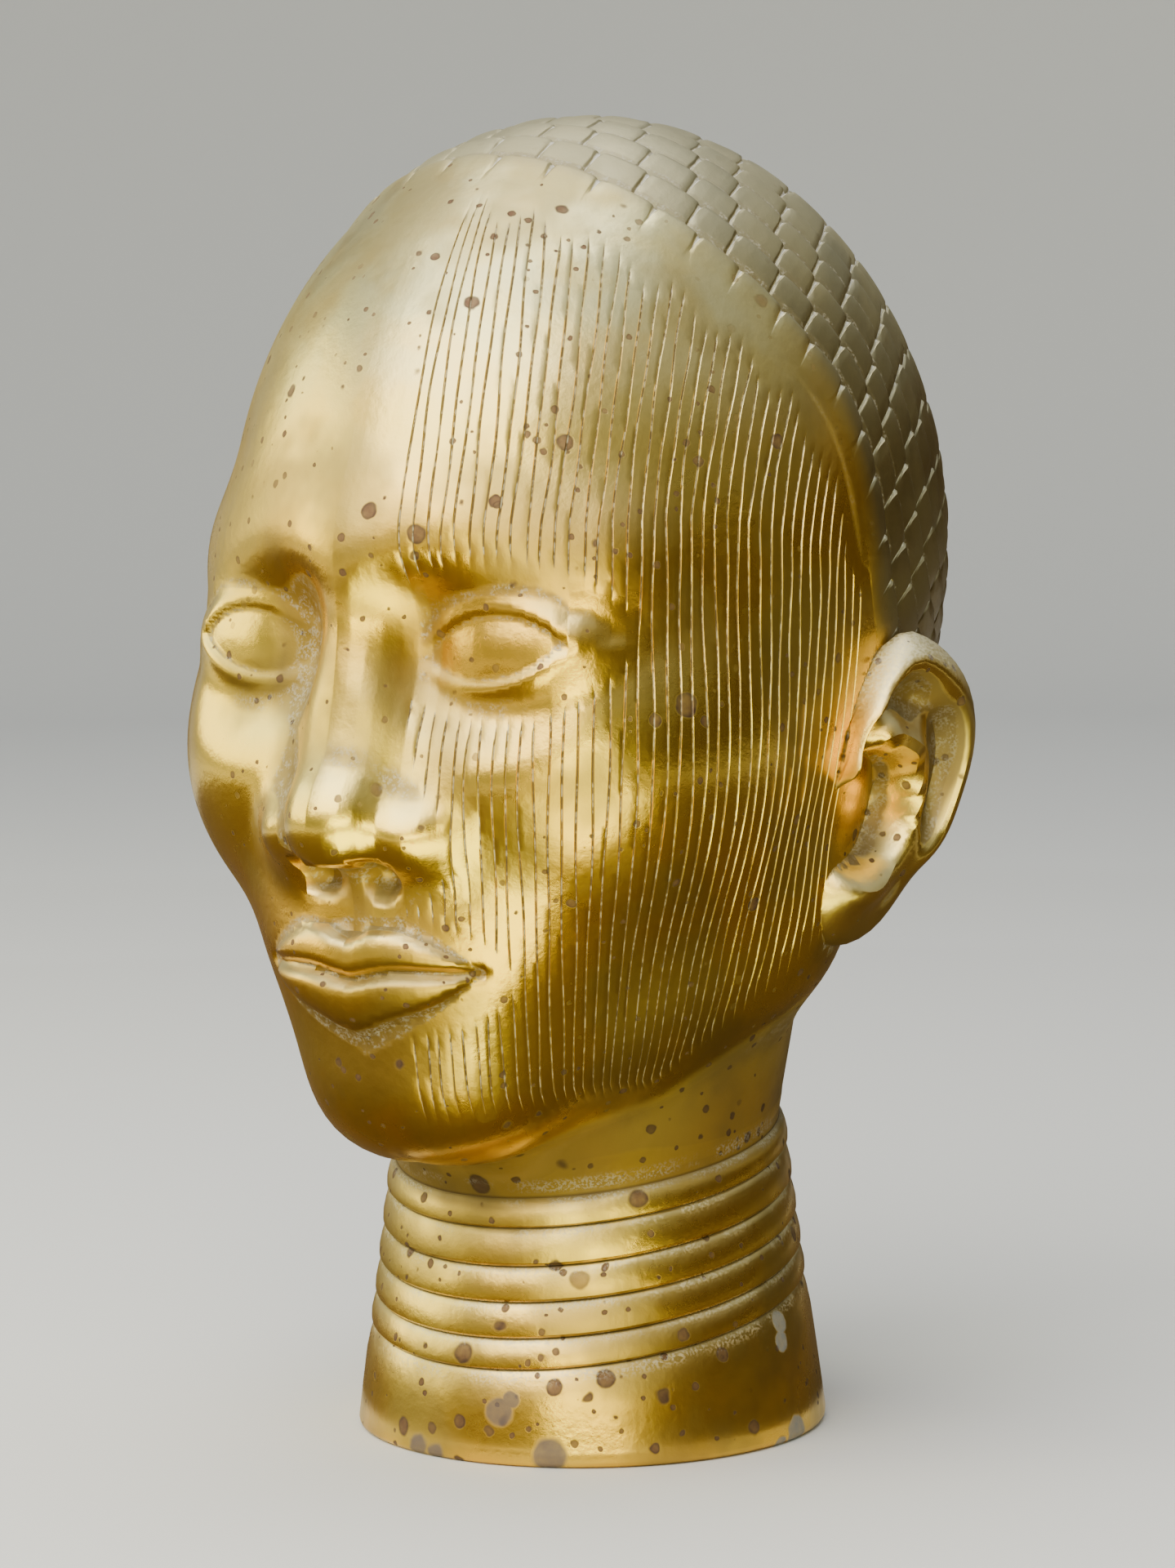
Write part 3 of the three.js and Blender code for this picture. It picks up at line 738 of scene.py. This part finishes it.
class Link:
    def __init__(self, tree, socket=None):
        self.tree = tree
        self.socket = socket

    def node(self, kind, settings={}, sockets={}, output=0):
        made = self.tree.nodes.new("ShaderNode" + kind)
        for name, value in settings.items():
            setattr(made, name, value)
        for name, value in sockets.items():
            if isinstance(value, Link):
                self.tree.links.new(value.socket, made.inputs[name])
            else:
                made.inputs[name].default_value = value
        return Link(self.tree, made.outputs[output])

    def maths(self, operation, a, b=0.0):
        return self.node("Math", {"operation": operation}, {0: a, 1: b})

    def __add__(self, other):
        return self.maths("ADD", self, other)

    def __sub__(self, other):
        return self.maths("SUBTRACT", self, other)

    def __rsub__(self, other):
        return self.maths("SUBTRACT", other, self)

    def __mul__(self, other):
        return self.maths("MULTIPLY", self, other)

    __radd__ = __add__
    __rmul__ = __mul__

    def step(self, low, high):
        sockets = {"Value": self, "From Min": low, "From Max": high}
        return self.node("MapRange", {"interpolation_type": "SMOOTHSTEP"}, sockets)

    def larger(self, other):
        return self.maths("MAXIMUM", self, other)

    def smaller(self, other):
        return self.maths("MINIMUM", self, other)

    def moved(self, shift):
        return self.node("Mapping", {}, {"Vector": self, "Location": shift})

    def noise(self, size, detail=2.0, shift=(0, 0, 0)):
        sockets = {"Vector": self.moved(shift), "Scale": 1 / size, "Detail": detail}
        return self.node("TexNoise", {}, sockets)

    def mixed(self, share, other):
        return self.node("Mix", {"data_type": "RGBA"}, {0: share, 6: self, 7: other}, 2)

    def between(self, first, second):     # from one colour to the other as this link goes from 0 to 1
        return self.node("Mix", {"data_type": "RGBA"}, {0: self, 6: first, 7: second}, 2)


def rgb(red, green, blue):
    return (red, green, blue, 1.0)


brass = {
    "polished": rgb(0.80, 0.535, 0.06),
    "warm": rgb(0.75, 0.425, 0.035),
    "champagne": rgb(0.66, 0.60, 0.31),
    "film": rgb(0.24, 0.17, 0.05),
    # the hair cap where it faces up, and its darker sides, which are painted shade
    "cap": rgb(0.37, 0.335, 0.205),
    "capShadedSide": rgb(0.25, 0.20, 0.085),
    # dark patina, also used as painted shade in the hollows
    "patinaAndShade": rgb(0.075, 0.042, 0.016),
    "filling": rgb(0.42, 0.36, 0.25),     # what has dried in the grooves
    "spot": rgb(0.125, 0.062, 0.030),
    "spotRim": rgb(0.060, 0.030, 0.020),
    "bruise": rgb(0.105, 0.075, 0.068),
    "residue": rgb(0.62, 0.59, 0.52),
    "oxide": rgb(0.17, 0.17, 0.165),
    "bump": 0.13,
    "spots": [                        # size of a cell, smallest and largest radius, share of cells, shift
        (0.0042, 0.0005, 0.0011, 0.6, (0.1, 0.2, 0.3)),
        (0.0085, 0.0008, 0.0019, 0.55, (0.4, 0.1, 0.7)),
        (0.0105, 0.0011, 0.0027, 0.75, (0.8, 0.5, 0.2)),
    ],
    "marks": [                        # the larger tarnish spots: turn, height, distance from the axis, radius
        (12, 210, 89, 2.3), (5, 215, 90, 1.9), (23, 217, 86, 1.6), (6, 269, 63, 1.2), (33, 229, 80, 2.0),
        (50, 173, 87, 3.0), (45, 170, 89, 1.7), (71, 228, 73, 2.0), (67, 127, 70, 1.8), (3, 62, 46, 2.8),
        (53, 75, 47, 1.3), (26, 45, 46, 2.0), (71, 23, 51, 1.8), (26, 18, 51, 2.0), (39, 20, 51, 2.3),
        (1, 9, 53, 1.8),
    ],
    "bruises": [(12, 12, 52, 3.6), (15, 15, 52, 2.2), (25, 3, 54, 4.4), (-12, 2, 55, 3.6), (-6, 1, 55, 3.2)],
    "patches": [(94, 27, 50, 2.9), (93, 23, 51, 2.7), (95, 2, 55, 4.2), (88, 0, 55, 2.6)],   # grey oxide
}

patternSize = {                       # in metres
    "broad": 0.06,
    "film": 0.03,
    "swarm": 0.04,
    "middle": 0.012,
    "fine": 0.0022,
    "beads": 0.0017,
    "grain": 0.0006,
    "ragged": 0.004,
}


def nearest(place, marks):            # distance to the nearest mark, as a share of its radius
    near = None
    for turn, height, reach, radius in marks:
        turn = math.radians(turn)
        spot = (reach * math.sin(turn) / 1000, -reach * math.cos(turn) / 1000, height / 1000)
        away = place.node("VectorMath", {"operation": "DISTANCE"}, {0: place, 1: spot}, 1) * (1000 / radius)
        near = near.smaller(away) if near else away
    return near


def wavering(place, size, share, scale):
    wobble = place.node("TexNoise", {}, {"Vector": place, "Scale": scale / size, "Detail": 1.0}, 1)
    centred = place.node("VectorMath", {"operation": "SUBTRACT"}, {0: wobble, 1: (0.5, 0.5, 0.5)})
    nudge = place.node("VectorMath", {"operation": "SCALE"}, {0: centred, "Scale": share * size})
    return place.node("VectorMath", {"operation": "ADD"}, {0: place, 1: nudge})


def spotLayer(place, size, low, high, share, shift):
    where = wavering(place, size, 0.16, 3.0).moved(shift)
    cell = {"Vector": where, "Scale": 1 / size, "Randomness": 0.85}
    near = place.node("TexVoronoi", {}, cell, 0)
    kind = place.node("TexVoronoi", {}, cell, 1)      # a colour for each cell
    chance = place.node("SeparateColor", {}, {0: kind}, 0)
    bulk = place.node("SeparateColor", {}, {0: kind}, 1)
    radius = (bulk * bulk * (high - low) + low) * (1 / size)
    away = place.maths("DIVIDE", near, radius)
    body = (1 - away.step(0.75, 1.1)) * (1 - chance.step(share - 0.01, share + 0.01))
    return body, away.step(0.45, 0.85)


def brassMaterial():
    material = bpy.data.materials.new("brass")
    material.use_nodes = True
    tree = material.node_tree
    shader = tree.nodes["Principled BSDF"]
    base = Link(tree)
    place = base.node("TexCoord", {}, {}, 3)
    mask = {name: base.node("Attribute", {"attribute_name": name}, {}, 2)
            for name in ("cut", "seam", "line", "ring", "cap", "ear", "hollow", "crease")}
    height = place.node("SeparateXYZ", {}, {0: place}, 2)
    facingUp = base.node("SeparateXYZ", {}, {0: base.node("NewGeometry", {}, {}, 1)}, 2)
    broad = place.noise(patternSize["broad"], 2.0)
    middle = place.noise(patternSize["middle"], 3.0, (0.2, 0.1, 0.4))
    fine = place.noise(patternSize["fine"], 3.0, (0.5, 0.3, 0.2))
    grain = place.noise(patternSize["grain"], 2.0, (0.1, 0.7, 0.2))

    # brass, with a dusty bloom and a painted sky highlight on what faces up and near the crown, and a brown
    # film in places
    polished = broad.step(0.35, 0.65).between(brass["polished"], brass["warm"])
    # paler champagne on upward faces and near the crown: dusty bloom and painted sky highlight
    bloomAndPaintedSheen = (facingUp.step(0.05, 0.75) * 0.75 + height.step(0.20, 0.27) * 0.35).smaller(0.9)
    bloomAndPaintedSheen = bloomAndPaintedSheen * (0.75 + 0.25 * middle.step(0.3, 0.6))
    cap = mask["cap"] * (0.85 + 0.15 * middle)
    dull = place.noise(patternSize["film"], 3.0, (0.3, 0.8, 0.1)).step(0.43, 0.64)
    colour = polished.mixed(bloomAndPaintedSheen, brass["champagne"]).mixed(dull * 0.6, brass["film"])
    colour = colour.mixed(mask["ear"] * 0.2, brass["champagne"])
    # the hair cap: lighter where it faces up, darker on its sides, which is painted shade
    colour = colour.mixed(cap, facingUp.step(0.1, 0.8).between(brass["capShadedSide"], brass["cap"]))

    # tarnish spots: small ones in swarms, large ones round the neck and foot, and marks in their places
    foot = 1 - height.step(0.06, 0.095)
    swarm = place.noise(patternSize["swarm"], 2.0, (0.9, 0.2, 0.6)).step(0.30, 0.48).larger(foot)
    layers = [spotLayer(place, *row) for row in brass["spots"]]
    (small, smallRim), (medium, mediumRim), (large, largeRim) = layers
    ragged = wavering(place, patternSize["ragged"], 0.22, 1.6)
    marked = nearest(ragged, brass["marks"])
    mark = 1 - marked.step(0.85, 1.1)
    spots = (small * swarm).larger(medium * (0.35 + 0.65 * swarm)).larger(large * foot)
    spots = (spots * (1 - mask["cap"] * 0.9)).larger(mark)
    rims = (smallRim * small).larger(mediumRim * medium).larger(largeRim * large)
    rims = rims.larger(marked.step(0.5, 0.9) * mark)
    spotColour = rims.between(brass["spot"], brass["spotRim"])
    colour = colour.mixed(spots * (0.72 + 0.4 * fine).smaller(1.0), spotColour)
    bruise = 1 - nearest(ragged, brass["bruises"]).step(0.75, 1.1)
    colour = colour.mixed(bruise * (0.75 + 0.25 * fine), brass["bruise"])

    # dark patina and painted shade in the hollows, deepest in the ear; dried polish in the grooves and cuts
    hollow = mask["hollow"].step(0.3, 1.8)
    crease = mask["crease"].step(0.06, 0.24)
    # darker in hollows, creases, tile seams and ring grooves, and more in the ear: patina and painted shade
    hollowPatinaAndShade = (hollow * 0.6).larger(crease * 0.65).larger(mask["seam"] * 0.15)
    hollowPatinaAndShade = hollowPatinaAndShade.larger(mask["ring"].step(0.75, 1.0) * 0.9) * (1 - mask["cap"] * 0.7) * (1 + mask["ear"] * 0.3)
    colour = colour.mixed(hollowPatinaAndShade, brass["patinaAndShade"])
    groove = mask["line"].step(0.15, 0.6)
    beads = 0.1 + 0.8 * place.noise(patternSize["beads"], 2.0, (0.6, 0.4, 0.8)).step(0.46, 0.62)
    colour = colour.mixed(groove * 0.9, beads.between(brass["patinaAndShade"], brass["filling"]))
    chalk = mask["cut"].step(0.3, 0.8) * (0.55 + 0.45 * fine.step(0.35, 0.5))
    ringTop = mask["ring"].step(0.2, 0.55) * (1 - mask["ring"].step(0.72, 0.9))
    chalk = chalk.larger(ringTop * grain.step(0.45, 0.6) * middle.step(0.4, 0.55) * 0.32)
    face = height.step(0.088, 0.1) * (1 - mask["ear"] * 0.5)
    chalk = chalk.larger(crease * face * grain.step(0.42, 0.6) * fine.step(0.4, 0.6) * 0.3)
    earTop = mask["ear"] * facingUp.step(0.1, 0.6) * height.step(0.163, 0.176)
    chalk = chalk.larger(earTop * (0.3 + 0.7 * grain.step(0.4, 0.6)) * 0.42)
    colour = colour.mixed(chalk, brass["residue"])
    patch = 1 - nearest(ragged, brass["patches"]).step(0.8, 1.05)
    colour = colour.mixed(patch * (0.6 + 0.5 * fine), brass["oxide"])

    # where it is covered, or in the painted shade of the hollows, it looks less like metal, and rougher
    bare = (chalk * 0.95).larger(spots * spots * 0.35).larger(bruise * 0.55).larger(hollowPatinaAndShade * 0.5)
    metal = 1 - bare.larger(groove * 0.7).larger(patch * 0.75)
    rough = 0.17 + 0.10 * broad + 0.06 * fine + 0.14 * cap + 0.14 * bloomAndPaintedSheen + 0.14 * dull
    rough = (rough + 0.2 * spots + 0.3 * bruise + 0.35 * chalk + 0.2 * hollowPatinaAndShade + 0.3 * patch).smaller(0.9)
    bumpHeight = grain * 0.25 + fine * 0.9 + middle * 2.0 - spots * 0.3 + patch * fine * 3
    bumpNode = base.node("Bump", {}, {"Strength": brass["bump"], "Distance": 0.0006, "Height": bumpHeight})
    finish = {"Base Color": colour, "Metallic": metal, "Roughness": rough, "Normal": bumpNode}
    for name, value in finish.items():
        tree.links.new(value.socket, shader.inputs[name])
    return material


print("material")
piece.data.materials.clear()
piece.data.materials.append(brassMaterial())
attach(piece, "root")
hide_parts("brass_head")


# Studio

studio = {
    "floorRadius": 2.6,
    "wallHeight": 0.9,
    "fold": 0.6,
    "floor": rgb(0.66, 0.65, 0.63),
    "horizon": rgb(0.10, 0.10, 0.10),
    "zenith": rgb(0.80, 0.86, 0.92),
    "worldStrength": 0.75,
    "rise": (0.15, 0.85),             # between them, the sky goes from the horizon's grey to the zenith's
    "darkReflectionRadius": 1.15,               # dark sheets beside the set, seen only in the metal: painted dark reflections
    "darkReflectionFoot": 0.02,
    "darkReflectionTop": 0.46,
    "darkReflections": [(54, 180), (-180, -120)],    # degrees round from the face
    "darkReflection": rgb(0.05, 0.032, 0.018),
    "reflectedShade": rgb(0.07, 0.045, 0.025),      # a dark brown sheet round the head, seen only in the metal: painted shade in its reflections
    "reflectedShadeRadius": 0.85,
    "reflectedShadeHole": 0.06,
    "reflectedShadeHeight": 0.004,
    "lights": [                       # name, place, aim, width, height, watts, colour
        ("sky", (0.05, -0.95, 1.00), (0, 0, 0.2), 1.4, 1.2, 31, (1.0, 0.98, 0.90)),
        ("top", (-0.15, 0.05, 1.4), (0, 0, 0.2), 0.9, 0.9, 11, (0.97, 0.98, 1.0)),
        ("window", (-1.3, -0.55, 0.60), (0, 0, 0.2), 1.2, 0.85, 13, (0.97, 0.96, 0.58)),
        ("front", (0.80, -1.20, 0.22), (0, 0, 0.12), 1.0, 0.28, 7, (0.94, 0.98, 0.44)),
        ("warmFloor", (0.31, -0.33, 0.008), (0.31, -0.33, 1), 0.46, 0.34, 3.0, (0.92, 1.0, 0.38)),
    ],
}


def paint(piece, colour, roughness):
    material = bpy.data.materials.new(piece.name)
    material.use_nodes = True
    shader = material.node_tree.nodes["Principled BSDF"]
    shader.inputs["Base Color"].default_value = colour
    shader.inputs["Roughness"].default_value = roughness
    piece.data.materials.append(material)


def editOnly(piece, kind, chosen):    # opens a piece for editing with only the chosen faces or edges selected
    bpy.ops.object.mode_set(mode="EDIT")
    bpy.ops.mesh.select_mode(type=kind)
    bpy.ops.mesh.select_all(action="DESELECT")
    bpy.ops.object.mode_set(mode="OBJECT")
    for part in piece.data.polygons if kind == "FACE" else piece.data.edges:
        part.select = chosen(part)
    bpy.ops.object.mode_set(mode="EDIT")


def studioFloor():
    wall = studio["wallHeight"]
    bpy.ops.object.select_all(action="DESELECT")
    bpy.ops.mesh.primitive_cylinder_add(vertices=96, radius=studio["floorRadius"], depth=wall,
                                        location=(0, 0, wall / 2))
    floor = bpy.context.object
    floor.name = "floor"
    bpy.ops.object.transform_apply(location=True)
    editOnly(floor, "FACE", lambda face: face.center.z > wall - 0.01)
    bpy.ops.mesh.delete(type="ONLY_FACE")
    bpy.ops.object.mode_set(mode="OBJECT")
    editOnly(floor, "EDGE", lambda edge: all(floor.data.vertices[v].co.z < 0.01 for v in edge.vertices))
    bpy.ops.mesh.bevel(offset=studio["fold"], segments=12)
    bpy.ops.object.mode_set(mode="OBJECT")
    bpy.ops.object.shade_smooth()
    paint(floor, studio["floor"], 0.7)


def onDarkReflection(face):
    turn = math.degrees(math.atan2(face.center.x, -face.center.y))
    return any(start < turn < end for start, end in studio["darkReflections"])


# dark sheets seen only in the metal, which paint dark reflections into it
def studioDarkReflections():
    foot, top = studio["darkReflectionFoot"], studio["darkReflectionTop"]
    bpy.ops.object.select_all(action="DESELECT")
    bpy.ops.mesh.primitive_cylinder_add(vertices=180, radius=studio["darkReflectionRadius"], depth=top - foot,
                                        end_fill_type="NOTHING", location=(0, 0, foot + (top - foot) / 2))
    darkReflections = bpy.context.object
    darkReflections.name = "darkReflections"
    bpy.ops.object.transform_apply(location=True)
    editOnly(darkReflections, "FACE", lambda face: not onDarkReflection(face))
    bpy.ops.mesh.delete(type="FACE")
    bpy.ops.object.mode_set(mode="OBJECT")
    return darkReflections


# a dark sheet round the head, seen only in the metal: painted shade in its reflections
def studioReflectedShade():
    bpy.ops.object.select_all(action="DESELECT")
    bpy.ops.mesh.primitive_circle_add(vertices=96, radius=studio["reflectedShadeRadius"], fill_type="NGON",
                                      location=(0, 0, studio["reflectedShadeHeight"]))
    reflectedShade = bpy.context.object
    reflectedShade.name = "reflectedShade"
    bpy.ops.object.transform_apply(location=True)
    editOnly(reflectedShade, "FACE", lambda face: True)
    bpy.ops.mesh.inset(thickness=studio["reflectedShadeRadius"] - studio["reflectedShadeHole"])
    bpy.ops.mesh.delete(type="FACE")
    bpy.ops.object.mode_set(mode="OBJECT")
    return reflectedShade


def studioLights():
    for name, spot, aim, width, height, watts, colour in studio["lights"]:
        bpy.ops.object.light_add(type="AREA", location=spot)
        light = bpy.context.object
        light.name = name
        light.rotation_euler = (Vector(aim) - Vector(spot)).to_track_quat("-Z", "Y").to_euler()
        light.data.shape = "RECTANGLE"
        light.data.size = width
        light.data.size_y = height
        light.data.energy = watts
        light.data.color = colour
        light.visible_camera = False
    world = bpy.data.worlds.new("world")
    bpy.context.scene.world = world
    world.use_nodes = True
    background = world.node_tree.nodes["Background"]
    background.inputs["Strength"].default_value = studio["worldStrength"]
    air = Link(world.node_tree)
    rise = air.node("SeparateXYZ", {}, {0: air.node("TexCoord", {}, {}, 0)}, 2).step(*studio["rise"])
    shade = rise.between(studio["horizon"], studio["zenith"])
    world.node_tree.links.new(shade.socket, background.inputs["Color"])


print("studio")
studioFloor()
# dark sheets that only the metal sees: painted dark reflections and painted shade
for sheet, colour in ((studioDarkReflections(), studio["darkReflection"]), (studioReflectedShade(), studio["reflectedShade"])):
    paint(sheet, colour, 1.0)
    sheet.visible_camera = sheet.visible_diffuse = sheet.visible_shadow = False
studioLights()
